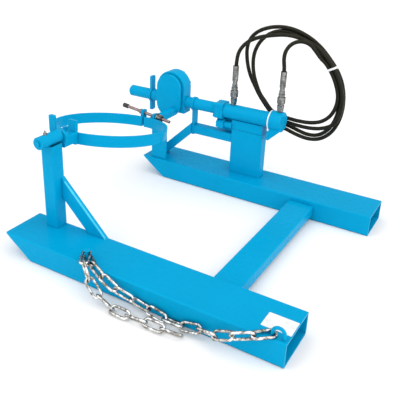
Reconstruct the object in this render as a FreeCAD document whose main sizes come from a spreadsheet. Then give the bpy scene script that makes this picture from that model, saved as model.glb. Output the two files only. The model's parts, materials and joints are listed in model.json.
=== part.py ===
import FreeCAD, Part
import math
import os
import re

from FreeCAD import Placement, Rotation, Vector

# Fork-mounted drum tipper.  Two fork pockets are joined by one cross member.
# A post with a plain bearing stands on the near pocket; a post with a
# hydraulic cylinder, rack and gear case stands on the far pocket.  Between
# them a clamp ring for a drum turns on a trunnion axis.
# Layout axes while modelling: X runs from the pocket tips (0) to the heels,
# Y from the near pocket's outer face (0) to the far pocket, Z up from the
# floor.  off_x and off_y shift the whole part so that its origin is below the
# middle of its box.

os.makedirs("parts", exist_ok=True)
doc = FreeCAD.newDocument("drum_tipper")
sheet = doc.addObject("Spreadsheet::Sheet", "Dims")

DIMS = [
    # frame
    ("off_x", 439.0), ("off_y", 443.45),
    ("pocket_len", 1000.0), ("pocket_wid", 164.0), ("pocket_hgt", 78.0), ("pocket_wall", 6.0),
    ("pocket_gap", 635.0), ("tip_cut", 107.0), ("tip_plate", 6.0),
    ("cross_x", 688.0), ("cross_wid", 98.0), ("cross_hgt", 40.0), ("cross_z", 20.0), ("cross_wall", 4.0),
    ("post_x", 75.0), ("post_size", 50.0), ("post_wall", 4.0), ("post_top", 374.0),
    ("brace_deep", 54.0), ("brace_thk", 16.0),
    # trunnion axis
    ("axis_x", 100.0), ("axis_z", 392.0),
    ("near_tube_od", 42.0), ("near_tube_id", 36.0), ("near_tube_y", 84.0), ("near_tube_len", 88.0),
    ("pin_dia", 30.0), ("lug_thk", 10.0),
    # ring
    ("ring_in", 200.0), ("ring_thk", 8.0), ("ring_hgt", 40.0),
    ("ring_cx", 100.0), ("ring_cy", 447.0), ("ring_cz", 331.0), ("ring_tilt_y", 2.5), ("ring_tilt_x", -8.6),
    # drive
    ("drive_y", 884.0), ("rack_z", 333.0), ("gear_mod", 4.0), ("gear_teeth", 24.0), ("gear_wid", 36.0),
    ("case_rad", 66.0), ("case_y", 856.0), ("case_dep", 48.0), ("case_bot", 286.0), ("cover_thk", 8.0),
    ("rack_tube_od", 47.0), ("rack_tube_id", 40.0), ("rack_dia", 38.0), ("stub_end", -112.0),
    ("barrel_od", 60.0), ("barrel_id", 50.0), ("barrel_x", 348.0), ("barrel_len", 206.0),
    ("rod_dia", 25.0),
    ("fpost_x", 386.0), ("fpost_wid", 136.0), ("fpost_y", 870.0), ("fpost_dep", 50.0), ("fpost_top", 264.0),
    ("arm_size", 38.0), ("arm_x", 208.0), ("arm_z", 202.0),
    # hydraulics
    ("hose_dia", 15.0), ("coil_x", 605.0), ("coil_y", 945.0), ("coil_z", 480.0), ("coil_long", 257.0), ("coil_short", 176.0),
    ("coil_long_in", 190.0), ("coil_short_in", 126.0), ("coil_dep", 38.0),
    # chain
    ("link_wire", 8.2), ("link_pitch", 58.0), ("link_wid", 33.0),
]
NAMES = set(n for n, _ in DIMS)
for i, (n, v) in enumerate(DIMS, start=1):
    sheet.set("A%d" % i, n)
    sheet.set("B%d" % i, repr(v))
    sheet.setAlias("B%d" % i, n)
doc.recompute()


def D(name):
    return float(sheet.get(name))


def ex(text):
    """Turn 'pocket_len - 2' into an expression on the sheet."""
    return re.sub(r"[A-Za-z_]\w*", lambda m: "Dims." + m.group(0) if m.group(0) in NAMES else m.group(0), str(text))


def val(text):
    if isinstance(text, (int, float)):
        return float(text)
    total = {n: D(n) for n in NAMES}
    out = re.sub(r"[A-Za-z_]\w*", lambda m: repr(total[m.group(0)]) if m.group(0) in total else m.group(0), str(text))
    return Arith(out).value()


class Arith:
    """A small reader for sums of sheet values, so that code-made shapes use the sheet too."""

    def __init__(self, text):
        self.tok = re.findall(r"\d+\.?\d*(?:e-?\d+)?|[-+*/()]", text)
        self.pos = 0

    def peek(self):
        return self.tok[self.pos] if self.pos < len(self.tok) else None

    def take(self):
        self.pos += 1
        return self.tok[self.pos - 1]

    def value(self):
        v = self.term()
        while self.peek() in ("+", "-"):
            v = v + self.term() if self.take() == "+" else v - self.term()
        return v

    def term(self):
        v = self.unit()
        while self.peek() in ("*", "/"):
            v = v * self.unit() if self.take() == "*" else v / self.unit()
        return v

    def unit(self):
        t = self.take()
        if t == "-":
            return -self.unit()
        if t == "(":
            v = self.value()
            self.take()
            return v
        return float(t)


OX, OY = D("off_x"), D("off_y")
NODES = {}
count = [0]


def tmp(stem="t"):
    count[0] += 1
    return "%s%03d" % (stem, count[0])


def node(obj, name):
    obj.Label = name
    NODES[name] = obj
    return obj


def bind(obj, pairs):
    for prop, text in pairs:
        obj.setExpression(prop, ex(text))


def at(obj, x, y, z, rot=None):
    if rot is not None:
        obj.Placement = Placement(Vector(0, 0, 0), rot)
    bind(obj, [("Placement.Base.x", "(%s) - off_x" % x), ("Placement.Base.y", "(%s) - off_y" % y), ("Placement.Base.z", "%s" % z)])
    return obj


def box(lx, ly, lz, x, y, z, name=None):
    o = doc.addObject("Part::Box", name or tmp("box"))
    bind(o, [("Length", lx), ("Width", ly), ("Height", lz)])
    return at(o, x, y, z)


ROT = {"x": Rotation(Vector(0, 1, 0), 90), "y": Rotation(Vector(1, 0, 0), -90), "z": Rotation()}


def cyl(axis, r, length, x, y, z, name=None):
    """Cylinder that starts at the given point and runs along +axis."""
    o = doc.addObject("Part::Cylinder", name or tmp("cyl"))
    bind(o, [("Radius", r), ("Height", length)])
    return at(o, x, y, z, ROT[axis])


def cone(axis, r1, r2, length, x, y, z, name=None):
    o = doc.addObject("Part::Cone", name or tmp("cone"))
    bind(o, [("Radius1", r1), ("Radius2", r2), ("Height", length)])
    return at(o, x, y, z, ROT[axis])


def hexa(axis, r, length, x, y, z, name=None):
    o = doc.addObject("Part::Prism", name or tmp("hex"))
    o.Polygon = 6
    bind(o, [("Circumradius", r), ("Height", length)])
    return at(o, x, y, z, ROT[axis])


def cut(a, *tools):
    o = doc.addObject("Part::Cut", tmp("cut"))
    o.Base = a
    o.Tool = tools[0] if len(tools) == 1 else fuse(*tools)
    return o


def fuse(*parts):
    o = doc.addObject("Part::MultiFuse", tmp("fuse"))
    o.Shapes = list(parts)
    return o


def common(a, b):
    o = doc.addObject("Part::Common", tmp("com"))
    o.Base = a
    o.Tool = b
    return o


def group(*parts):
    o = doc.addObject("Part::Compound", tmp("grp"))
    o.Links = list(parts)
    return o


def fillet(obj, r, test):
    """Round every edge of obj for which test(edge) holds."""
    doc.recompute()
    o = doc.addObject("Part::Fillet", tmp("fil"))
    o.Base = obj
    o.Edges = [(i, r, r) for i, e in enumerate(obj.Shape.Edges, start=1) if test(e)]
    return o


def chamfer(obj, r, test):
    doc.recompute()
    o = doc.addObject("Part::Chamfer", tmp("cha"))
    o.Base = obj
    o.Edges = [(i, r, r) for i, e in enumerate(obj.Shape.Edges, start=1) if test(e)]
    return o


def along(axis):
    d = {"x": Vector(1, 0, 0), "y": Vector(0, 1, 0), "z": Vector(0, 0, 1)}[axis]

    def test(e):
        if len(e.Vertexes) != 2 or e.Curve.TypeId != "Part::GeomLine":
            return False
        v = e.Vertexes[1].Point - e.Vertexes[0].Point
        return abs(abs(v.normalize().dot(d)) - 1) < 1e-6
    return test


def circles(r=None, where=None):
    def test(e):
        if e.Curve.TypeId != "Part::GeomCircle":
            return False
        if r is not None and abs(e.Curve.Radius - r) > 1e-4:
            return False
        return where is None or where(e.Curve.Center + Vector(OX, OY, 0))
    return test


def rbar(axis, lx, ly, lz, x, y, z, r):
    return fillet(box(lx, ly, lz, x, y, z), r, along(axis))


def tube(axis, ro, ri, length, x, y, z):
    d = {"x": (x, y, z), "y": (x, y, z), "z": (x, y, z)}[axis]
    a = cyl(axis, ro, length, *d)
    p = list(d)
    i = "xyz".index(axis)
    p[i] = "(%s) - 1" % p[i]
    return cut(a, cyl(axis, ri, "(%s) + 2" % length, *p))


def solid(shape, name):
    """A piece whose shape is made in code, in layout axes."""
    o = doc.addObject("Part::Feature", tmp("feat"))
    o.Shape = shape
    o.Placement = Placement(Vector(-OX, -OY, 0), Rotation())
    return node(o, name)


def plane_of(body, role):
    return [f for f in body.Origin.OriginFeatures if f.Role == role][0]


def sk_poly(body, role, pts):
    """A closed polygon sketch, every corner placed by two sheet expressions."""
    import Sketcher
    s = body.newObject("Sketcher::SketchObject", tmp("Sketch"))
    s.AttachmentSupport = [(plane_of(body, role), "")]
    s.MapMode = "FlatFace"
    num = [(val(a), val(b)) for a, b in pts]
    n = len(num)
    for i in range(n):
        a, b = num[i], num[(i + 1) % n]
        s.addGeometry(Part.LineSegment(Vector(a[0], a[1], 0), Vector(b[0], b[1], 0)))
    for i in range(n):
        s.addConstraint(Sketcher.Constraint("Coincident", i, 2, (i + 1) % n, 1))
    for i in range(n):
        for kind, text, v in (("DistanceX", pts[i][0], num[i][0]), ("DistanceY", pts[i][1], num[i][1])):
            k = s.addConstraint(Sketcher.Constraint(kind, -1, 1, i, 1, v))
            if abs(v) > 1e-9:
                s.setExpression("Constraints[%d]" % k, ex(text))
    return s


def body_at(x, y, z):
    b = doc.addObject("PartDesign::Body", tmp("Body"))
    return at(b, x, y, z)


# ---------------------------------------------------------------- frame
# Fork pockets: rectangular tubes, open at the heel, with the tip cut on a slope.
tip_ang = math.degrees(math.atan2(D("pocket_hgt"), D("tip_cut")))
slope = Rotation(Vector(0, 1, 0), tip_ang)


def sloped_slab(y, wid, z0, thk, back=60.0, length=300.0):
    """A slab parallel to the tip's slope, z0 above it, thk thick."""
    o = doc.addObject("Part::Box", tmp("slab"))
    o.Length = length
    bind(o, [("Width", wid)])
    o.Height = thk
    p = slope.multVec(Vector(-back, 0, z0)) + Vector(-OX, 0, D("pocket_hgt"))
    o.Placement = Placement(Vector(p.x, 0, p.z), slope)
    bind(o, [("Placement.Base.y", "(%s) - off_y" % y)])
    return o


def make_pocket(y, name):
    outer = rbar("x", "pocket_len", "pocket_wid", "pocket_hgt", "0", y, "0", 5.0)
    inner = box("pocket_len + 40", "pocket_wid - 2 * pocket_wall", "pocket_hgt - 2 * pocket_wall",
                "-20", "%s + pocket_wall" % y, "pocket_wall")
    inner = fillet(inner, 2.0, along("x"))
    o = cut(outer, inner, sloped_slab("%s - 5" % y, "pocket_wid + 10", -200.0, 200.0))
    node(o, name)
    return o


FAR = "pocket_wid + pocket_gap"
make_pocket("0", "fork_pocket_near")
make_pocket(FAR, "fork_pocket_far")


def make_tip(y):
    slab = sloped_slab(y, "pocket_wid", 0.0, D("tip_plate"))
    room = box("200", "pocket_wid - 2 * pocket_wall", "pocket_hgt - 2 * pocket_wall", "-20", "%s + pocket_wall" % y, "pocket_wall")
    room = fillet(room, 2.0, along("x"))
    return common(room, slab)


node(group(make_tip("0"), make_tip(FAR)), "tip_plates")

# Cross member: rectangular tube between the pockets' inner faces.
outer = rbar("y", "cross_wid", "pocket_gap", "cross_hgt", "cross_x", "pocket_wid", "cross_z", 4.0)
inner = box("cross_wid - 2 * cross_wall", "pocket_gap + 4", "cross_hgt - 2 * cross_wall",
            "cross_x + cross_wall", "pocket_wid - 2", "cross_z + cross_wall")
node(cut(outer, inner), "cross_member")

# Near post: square tube on the near pocket, flush with its inner side.
py = "pocket_wid - post_size - 1"
outer = rbar("z", "post_size", "post_size", "post_top - pocket_hgt", "post_x", py, "pocket_hgt", 5.0)
inner = box("post_size - 2 * post_wall", "post_size - 2 * post_wall", "post_top", "post_x + post_wall", "%s + post_wall" % py, "pocket_hgt - 1")
seat = cyl("y", "near_tube_od / 2", "120", "axis_x", "80", "axis_z")
node(cut(outer, inner, seat), "near_post")

# Brace: flat bar on edge, sloping down from the post to the pocket.
b = body_at("0", "pocket_wid - 1 - brace_thk", "0")
s = sk_poly(b, "XZ_Plane", [("post_x + post_size", "258"), ("post_x + post_size", "258 - brace_deep * 1.4142"),
                            ("post_x + post_size + 258 - pocket_hgt - brace_deep * 1.4142", "pocket_hgt"),
                            ("post_x + post_size + 258 - pocket_hgt", "pocket_hgt")])
pad = b.newObject("PartDesign::Pad", tmp("Pad"))
pad.Profile = s
pad.Reversed = True
pad.setExpression("Length", ex("brace_thk"))
doc.recompute()
fil = b.newObject("PartDesign::Fillet", tmp("Fillet"))


def sloping(e):
    if len(e.Vertexes) != 2 or e.Curve.TypeId != "Part::GeomLine":
        return False
    v = (e.Vertexes[1].Point - e.Vertexes[0].Point).normalize()
    return abs(v.x) > 0.2 and abs(v.z) > 0.2


fil.Base = (pad, ["Edge%d" % i for i, e in enumerate(pad.Shape.Edges, start=1) if sloping(e)])
fil.Radius = 3.0
b.Tip = fil
node(b, "near_brace")

# Near bearing: a tube across the post's top, a bronze bush in it, a grease nipple on it.
tub = tube("y", "near_tube_od / 2", "near_tube_id / 2", "near_tube_len", "axis_x", "near_tube_y", "axis_z")
hole = cyl("z", "3.1", "40", "axis_x", "112", "axis_z")
node(cut(tub, hole), "near_bearing_tube")
bush = tube("y", "near_tube_id / 2", "pin_dia / 2 + 0.05", "near_tube_len - 4", "axis_x", "near_tube_y + 2", "axis_z")
node(cut(bush, cyl("z", "3.1", "40", "axis_x", "112", "axis_z")), "near_bush")
nip = fuse(cyl("z", "3.0", "9", "axis_x", "112", "axis_z + near_tube_od / 2 - 5"),
           hexa("z", "6.2", "6", "axis_x", "112", "axis_z + near_tube_od / 2 + 0.2"),
           cone("z", "3.4", "2.2", "6", "axis_x", "112", "axis_z + near_tube_od / 2 + 6.2"),
           cyl("z", "3.0", "3", "axis_x", "112", "axis_z + near_tube_od / 2 + 10"))
node(nip, "grease_nipple")

# ---------------------------------------------------------------- cradle
# Trunnion pin, with a retaining washer and screw on its outer end.
node(cyl("y", "pin_dia / 2", "near_tube_len + 2.5", "axis_x", "near_tube_y - 0.5", "axis_z"), "near_trunnion_pin")
wash = cyl("y", "21", "5", "axis_x", "near_tube_y - 5.5", "axis_z")
wash = chamfer(wash, 1.2, circles(21.0, lambda c: c.y < D("near_tube_y") - 3))
scr = hexa("y", "9.2", "6.4", "axis_x", "near_tube_y - 11.9", "axis_z")
node(group(wash, scr), "pin_retainer")

# Near lug: a collar plate with an upright on the pin's inner end; its hub and the
# strip on the ring follow below, once the ring's place is set.
lug_y = "near_tube_y + near_tube_len + 2"
b = body_at("0", lug_y, "0")
s = sk_poly(b, "XZ_Plane", [("60", "400"), ("72", "372"), ("86", "360"), ("114", "360"), ("130", "376"), ("130", "398"), ("118", "409"), ("84", "409"),
                            ("84", "455"), ("60", "455")])
pad = b.newObject("PartDesign::Pad", tmp("Pad"))
pad.Profile = s
pad.Reversed = True
pad.setExpression("Length", ex("lug_thk"))
doc.recompute()
fil = b.newObject("PartDesign::Fillet", tmp("Fillet"))
fil.Base = (pad, ["Edge%d" % i for i, e in enumerate(pad.Shape.Edges, start=1) if along("y")(e)])
fil.Radius = 4.0
b.Tip = fil
lug_plate = b

# Ring frame: local x along the pockets, local y towards the far side, local z
# square to the ring.  The ring stands tilted in the cradle.
TILT = Rotation(Vector(0, 1, 0), -D("ring_tilt_y")).multiply(Rotation(Vector(1, 0, 0), D("ring_tilt_x")))
RING = Placement(Vector(D("ring_cx") - OX, D("ring_cy") - OY, D("ring_cz")), TILT)
RI, RT, RH = D("ring_in"), D("ring_thk"), D("ring_hgt")
RO = RI + RT
RM = RI + RT / 2


def in_ring(obj, x, y, z, rot=None):
    obj.Placement = RING.multiply(Placement(Vector(x, y, z), rot or Rotation()))
    return obj


def rcyl(r, length, x, y, z, rot=None):
    o = doc.addObject("Part::Cylinder", tmp("rc"))
    bind(o, [("Radius", r), ("Height", length)])
    return in_ring(o, x, y, z, rot)


def rbox(lx, ly, lz, x, y, z):
    o = doc.addObject("Part::Box", tmp("rb"))
    bind(o, [("Length", lx), ("Width", ly), ("Height", lz)])
    return in_ring(o, x, y, z)


def band(a0, a1):
    """A bent flat bar: the ring's section turned about its axis from a0 to a1 degrees."""
    b = doc.addObject("PartDesign::Body", tmp("Body"))
    b.Placement = RING.multiply(Placement(Vector(0, 0, 0), Rotation(Vector(0, 0, 1), a0)))
    s = sk_poly(b, "XZ_Plane", [("ring_in", "-ring_hgt / 2"), ("ring_in + ring_thk", "-ring_hgt / 2"),
                                ("ring_in + ring_thk", "ring_hgt / 2"), ("ring_in", "ring_hgt / 2")])
    rev = b.newObject("PartDesign::Revolution", tmp("Rev"))
    rev.Profile = s
    rev.ReferenceAxis = (s, ["V_Axis"])
    rev.Angle = a1 - a0
    doc.recompute()
    fil = b.newObject("PartDesign::Fillet", tmp("Fillet"))
    fil.Base = (rev, ["Edge%d" % i for i, e in enumerate(rev.Shape.Edges, start=1) if e.Curve.TypeId == "Part::GeomCircle"])
    fil.Radius = 1.2
    b.Tip = fil
    return b


# The lug's bar below the trunnion axis and the upright strip that is welded to the ring.
hub = rbar("y", "36", "240 - near_tube_y - near_tube_len - 6", "36", "axis_x - 16", "near_tube_y + near_tube_len + 6", "axis_z - 42", 4.0)
strip = cut(rbox("35", "12", "82", -14.0, -RO - 9.0, -20.0), rcyl("ring_in + ring_thk + 0.02", "130", 0, 0, -40))
node(fuse(lug_plate, hub, strip), "near_lug")

# Hinge of the front half: its axis stands on the ring's line near the near end.
hinge_u, hinge_v = -40.0, -math.sqrt(RM ** 2 - 40.0 ** 2)
hinge_a = math.degrees(math.atan2(hinge_v, hinge_u))          # about -98 degrees
KR = 11.0
gap_a = math.degrees((KR + 0.5) / RM)
# The far ends of the two halves leave a gap that the clamp screw closes.
SPLIT = 3.0                    # local x of the gap
split_a = 90.0 - math.degrees(math.asin(SPLIT / RM))
half_gap = math.degrees(6.0 / RM)
rear = band(hinge_a + gap_a - 0.6, split_a - half_gap)
front = band(split_a + half_gap, 360.0 + hinge_a - math.degrees(12.4 / RM))

# Rear half with two hinge knuckles; front half with the middle knuckle.
zk = RH / 2 + 8.0
kn = zk * 2 / 3.0
clear_mid = rcyl("%f" % (KR + 0.6), "%f" % (kn + 1.0), hinge_u, hinge_v, -kn / 2 - 0.5)
bore = rcyl("6.05", "%f" % (2 * zk + 4), hinge_u, hinge_v, -zk - 2)
low = rcyl("%f" % KR, "%f" % (kn - 0.3), hinge_u, hinge_v, -zk)
top = rcyl("%f" % KR, "%f" % (kn - 0.3), hinge_u, hinge_v, kn / 2 + 0.3)
node(cut(fuse(rear, low, top), bore, clear_mid), "ring_rear_half")
mid = rcyl("%f" % KR, "%f" % (kn - 0.4), hinge_u, hinge_v, -kn / 2 + 0.2)
leaf = doc.addObject("Part::Box", tmp("leaf"))
bind(leaf, [("Length", "ring_thk + 2"), ("Width", "26"), ("Height", "%f" % (kn - 0.4))])
leaf.Placement = RING.multiply(Placement(Vector(hinge_u, hinge_v, 0), Rotation(Vector(0, 0, 1), hinge_a))).multiply(
    Placement(Vector(-RT / 2 - 1, -26, -kn / 2 + 0.2), Rotation()))
bore = rcyl("6.05", "%f" % (2 * zk + 4), hinge_u, hinge_v, -zk - 2)
node(cut(fuse(front, mid, leaf), bore), "ring_front_half")
pin = fuse(rcyl("6.0", "%f" % (2 * zk + 3), hinge_u, hinge_v, -zk - 3), rcyl("9.0", "3", hinge_u, hinge_v, zk))
node(pin, "ring_hinge_pin")

# Far ends: an ear on each half, both drilled for the clamp screw above the band.
# The screw leans: it drops towards the heels.
SY, LEAN = RO + 14.0, 9.2      # screw line, local y and its lean in degrees
EAR_T = 10.0
fx0 = SPLIT - 6.0 - EAR_T
rx0 = 45.0
XR = Rotation(Vector(0, 1, 0), 90.0 + LEAN)


def sz(x):
    """Local z of the screw line at local x."""
    return 32.0 - math.tan(math.radians(LEAN)) * x


def ear(x0, hole_r, top):
    e = rbox("%f" % EAR_T, "36", "%f" % (top + 19.0), x0, RO - 8.0, -19.0)
    e = fillet(e, 6.0, lambda ed: len(ed.Vertexes) == 2 and ed.Curve.TypeId == "Part::GeomLine"
               and abs(abs((ed.Vertexes[1].Point - ed.Vertexes[0].Point).normalize().dot(TILT.multVec(Vector(1, 0, 0)))) - 1) < 1e-6
               and (RING.inverse().multVec(ed.Vertexes[0].Point)).y > RO + 5)
    h = rcyl("%f" % hole_r, "%f" % (EAR_T + 12), x0 - 6, SY, sz(x0 - 6), XR)
    trim = rcyl("ring_in + ring_thk + 0.02", "130", 0, 0, -40)
    return cut(e, h, trim)


node(ear(rx0, 10.0, 38.0), "rear_clamp_ear")
node(ear(fx0, 6.1, 46.0), "front_clamp_ear")
nx = rx0 + EAR_T + 2.75
nut = doc.addObject("Part::Prism", tmp("nut"))
nut.Polygon = 6
nut.Circumradius = 15.5
nut.Height = 18.0
in_ring(nut, nx + 2.9, SY, sz(nx + 2.9), XR)
nut = fuse(nut, rcyl("16.5", "3", nx, SY, sz(nx), XR))
node(cut(nut, rcyl("9.8", "30", nx - 4, SY, sz(nx - 4), XR)), "clamp_nut")
# Clamp screw: long bar with a collar before the front ear and a black grip.
scr = fuse(rcyl("6.0", "218", -100.0, SY, sz(-100.0), XR), rcyl("10.5", "9", fx0 - 11.0, SY, sz(fx0 - 11.0), XR))
node(scr, "clamp_screw")
grip = cut(rcyl("9.0", "24", -108.0, SY, sz(-108.0), XR), rcyl("6.0", "40", -100.0, SY, sz(-100.0), XR))
grip = fillet(grip, 2.0, lambda e: e.Curve.TypeId == "Part::GeomCircle" and abs(e.Curve.Radius - 9.0) < 1e-4)
node(grip, "clamp_grip")

# Far hanger: a plate with round ends on the drive shaft, and a bar from its lower
# end to the ring's rear half.
hang_y, hang_t, hang_r, hang_drop = 836.0, 14.0, 56.0, 68.0
hang = fuse(cyl("y", "%f" % hang_r, "%f" % hang_t, "axis_x", "%f" % hang_y, "axis_z"),
            cyl("y", "%f" % hang_r, "%f" % hang_t, "axis_x", "%f" % hang_y, "axis_z - %f" % hang_drop),
            box("%f" % (2 * hang_r), "%f" % hang_t, "%f" % hang_drop, "axis_x - %f" % hang_r, "%f" % hang_y, "axis_z - %f" % hang_drop))
bar = cut(rbar("y", "28", "%f" % (hang_y + 4.0 - 640.0), "30", "axis_x + 15", "640", "283", 3.0),
          rcyl("ring_in + ring_thk + 0.02", "130", 0, 0, -60))
blind = cyl("y", "15.0", "%f" % (hang_t - 4.0 + 2.0), "axis_x", "%f" % (hang_y + 4.0), "axis_z")
node(cut(fuse(hang, bar), blind), "far_hanger")

# ---------------------------------------------------------------- drive
RP = D("gear_mod") * D("gear_teeth") / 2
PITCH_Z = D("axis_z") - RP
BACK = 0.18                   # backlash, each flank
AX = Vector(D("axis_x"), 0, D("axis_z"))


def gear_shape():
    m, n, w = D("gear_mod"), int(D("gear_teeth")), D("gear_wid")
    ra, rf = RP + m, RP - 1.25 * m
    rb = RP * math.cos(math.radians(20))
    half = math.pi / (2 * n) - BACK / RP
    inv = lambda a: math.tan(a) - a
    pts = []
    y0 = D("drive_y") - w / 2
    turn = -math.pi / 2        # one tooth space faces the rack at rest
    for k in range(n):
        mid = turn + (k + 0.5) * 2 * math.pi / n
        side = []
        for j in range(6):
            r = max(rb, rf) + (ra - max(rb, rf)) * j / 5.0
            a = math.acos(min(1.0, rb / r))
            side.append((r, half + inv(math.radians(20)) - inv(a)))
        low = side[0][1]
        pts.append((rf, mid - low - 0.012))
        pts += [(r, mid - t) for r, t in side]
        pts += [(r, mid + t) for r, t in reversed(side)]
        pts.append((rf, mid + low + 0.012))
    vec = [Vector(AX.x + r * math.cos(a), y0, AX.z + r * math.sin(a)) for r, a in pts]
    face = Part.Face(Part.makePolygon(vec + [vec[0]]))
    body = face.extrude(Vector(0, w, 0))
    body = body.cut(Part.makeCylinder(15.0, w + 2, Vector(AX.x, y0 - 1, AX.z), Vector(0, 1, 0)))
    key = Part.makeBox(8.0, w + 2, 6.0, Vector(AX.x - 4.0, y0 - 1, AX.z + 12.0))
    return body.cut(key)


solid(gear_shape(), "pinion")

# Drive shaft, keyed to the pinion.
shaft = cyl("y", "15.0", "%f - %f" % (D("case_y") + D("case_dep") + 6, hang_y + 4.0), "axis_x", "%f" % (hang_y + 4.0), "axis_z")
shaft = cut(shaft, box("8", "gear_wid", "20", "axis_x - 4", "drive_y - gear_wid / 2", "axis_z + 11"))
node(shaft, "drive_shaft")
node(box("8", "gear_wid", "7", "axis_x - 4", "drive_y - gear_wid / 2", "axis_z + 11"), "pinion_key")


def rack_shape():
    """Round bar with teeth milled into its flattened top."""
    m = D("gear_mod")
    x0, x1 = -96.0, 150.0
    r = D("rack_dia") / 2
    y, z = D("drive_y"), D("rack_z")
    bar = Part.makeCylinder(r, x1 - x0, Vector(x0, y, z), Vector(1, 0, 0))
    tip = PITCH_Z + m
    bar = bar.cut(Part.makeBox(x1 - x0 - 30, 2 * r + 2, 40, Vector(x0 - 1, y - r - 1, tip)))
    p = math.pi * m
    t20 = math.tan(math.radians(20))
    root = PITCH_Z - 1.25 * m
    spaces = []
    for k in range(-13, 3):
        xc = D("axis_x") + (k + 0.5) * p       # a rack space faces each pinion tooth
        if xc - p < x0 or xc + p > x1 - 28:
            continue
        hw = p / 4 + BACK
        lo, hi = hw - 1.25 * m * t20, hw + (m + 1) * t20
        q = [Vector(xc - lo, y - r - 1, root), Vector(xc + lo, y - r - 1, root),
             Vector(xc + hi, y - r - 1, tip + 1), Vector(xc - hi, y - r - 1, tip + 1)]
        spaces.append(Part.Face(Part.makePolygon(q + [q[0]])).extrude(Vector(0, 2 * r + 2, 0)))
    for sp in spaces:
        bar = bar.cut(sp)
    # run-out behind the last tooth, so that the pinion turns clear of the bar's plain end
    bar = bar.cut(Part.makeBox(12.5, 2 * r + 2, 40, Vector(111.5, y - r - 1, root)))
    bar = bar.cut(Part.makeBox(20.0, 2 * r + 2, 40, Vector(123.0, y - r - 1, tip)))
    sock = Part.makeCylinder(D("rod_dia") / 2 - 3.0, 30, Vector(x1 - 24, y, z), Vector(1, 0, 0))
    return bar.cut(sock)


solid(rack_shape(), "rack_bar")

# Gear case: a housing with a round top and a flat foot, bored through for the rack.
DY, RZ = "drive_y", "rack_z"


def tomb(y, dep, grow=0.0):
    g = "%f" % grow
    return fuse(cyl("y", "case_rad + %s" % g, dep, "axis_x", y, "axis_z"),
                box("2 * case_rad + 2 * %s" % g, dep, "axis_z - case_bot + %s" % g, "axis_x - case_rad - %s" % g, y, "case_bot - %s" % g))


shell = tomb("case_y", "case_dep")
shell = fillet(shell, 4.0, lambda e: all(abs(v.Point.y + OY - D("case_y")) < 1e-4 for v in e.Vertexes))
cav = cyl("y", "54.5", "case_dep", "axis_x", "case_y + 8", "axis_z")
bore = cyl("x", "rack_tube_id / 2", "300", "axis_x - 150", DY, RZ)
sh = cyl("y", "18.0", "40", "axis_x", "case_y - 10", "axis_z")
bolt_pts = [(-50, -60), (50, -60), (-50, 34), (50, 34), (-50 - 8, -8), (50 + 8, -8)]
bolt_pts = [(-58, -96), (58, -96), (-57, 18), (57, 18), (-26, 54), (26, 54)]
holes = [cyl("y", "3.0", "16", "axis_x + %d" % x, "case_y + case_dep - 14", "axis_z + %d" % z) for x, z in bolt_pts]
node(cut(shell, cav, bore, sh, *holes), "gear_case")
plate = tomb("case_y + case_dep", "cover_thk")
plate = fillet(plate, 2.5, lambda e: all(abs(v.Point.y + OY - D("case_y") - D("case_dep") - D("cover_thk")) < 1e-4 for v in e.Vertexes))
ch = [cyl("y", "3.2", "20", "axis_x + %d" % x, "case_y + case_dep - 4", "axis_z + %d" % z) for x, z in bolt_pts]
sh2 = cyl("y", "18.0", "6", "axis_x", "case_y + case_dep", "axis_z")
node(cut(plate, sh2, *ch), "gear_case_cover")
bl = [fuse(hexa("y", "5.8", "4", "axis_x + %d" % x, "case_y + case_dep + cover_thk", "axis_z + %d" % z),
           cyl("y", "2.9", "cover_thk + 10", "axis_x + %d" % x, "case_y + case_dep - 10", "axis_z + %d" % z)) for x, z in bolt_pts]
node(group(*bl), "case_bolts")
node(group(tube("y", "18.0", "15.05", "8", "axis_x", "case_y", "axis_z"),
           tube("y", "18.0", "15.05", "6", "axis_x", "case_y + case_dep", "axis_z"),
           tube("x", "rack_tube_id / 2", "rack_dia / 2 + 0.05", "30", "axis_x - case_rad - 40", DY, RZ)), "drive_bushes")

# Rack tubes: a capped stub ahead of the case, a longer tube back to the cylinder.
fx = "axis_x - case_rad"
stub = tube("x", "rack_tube_od / 2", "rack_tube_id / 2", "axis_x - case_rad - stub_end", "stub_end", DY, RZ)
capx = cyl("x", "rack_tube_od / 2", "10", "stub_end - 10", DY, RZ)
capx = chamfer(capx, 6.0, circles(D("rack_tube_od") / 2, lambda c: c.x < D("stub_end") - 5))
node(fuse(stub, capx), "rack_tube_front")
node(tube("x", "rack_tube_od / 2", "rack_tube_id / 2", "312 - axis_x - case_rad", "axis_x + case_rad", DY, RZ), "rack_tube_rear")

# Clamp collar plate on the stub, standing proud above and below it.
cp = fuse(rbar("x", "9", "30", "150", "axis_x - case_rad - 48", "drive_y - 15", "rack_z - 66", 6.0),
          cyl("x", "rack_tube_od / 2 + 5.5", "9", "axis_x - case_rad - 48", DY, RZ))
node(cut(cp, cyl("x", "rack_tube_od / 2", "60", "axis_x - case_rad - 60", DY, RZ)), "rack_tube_bracket")

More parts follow.
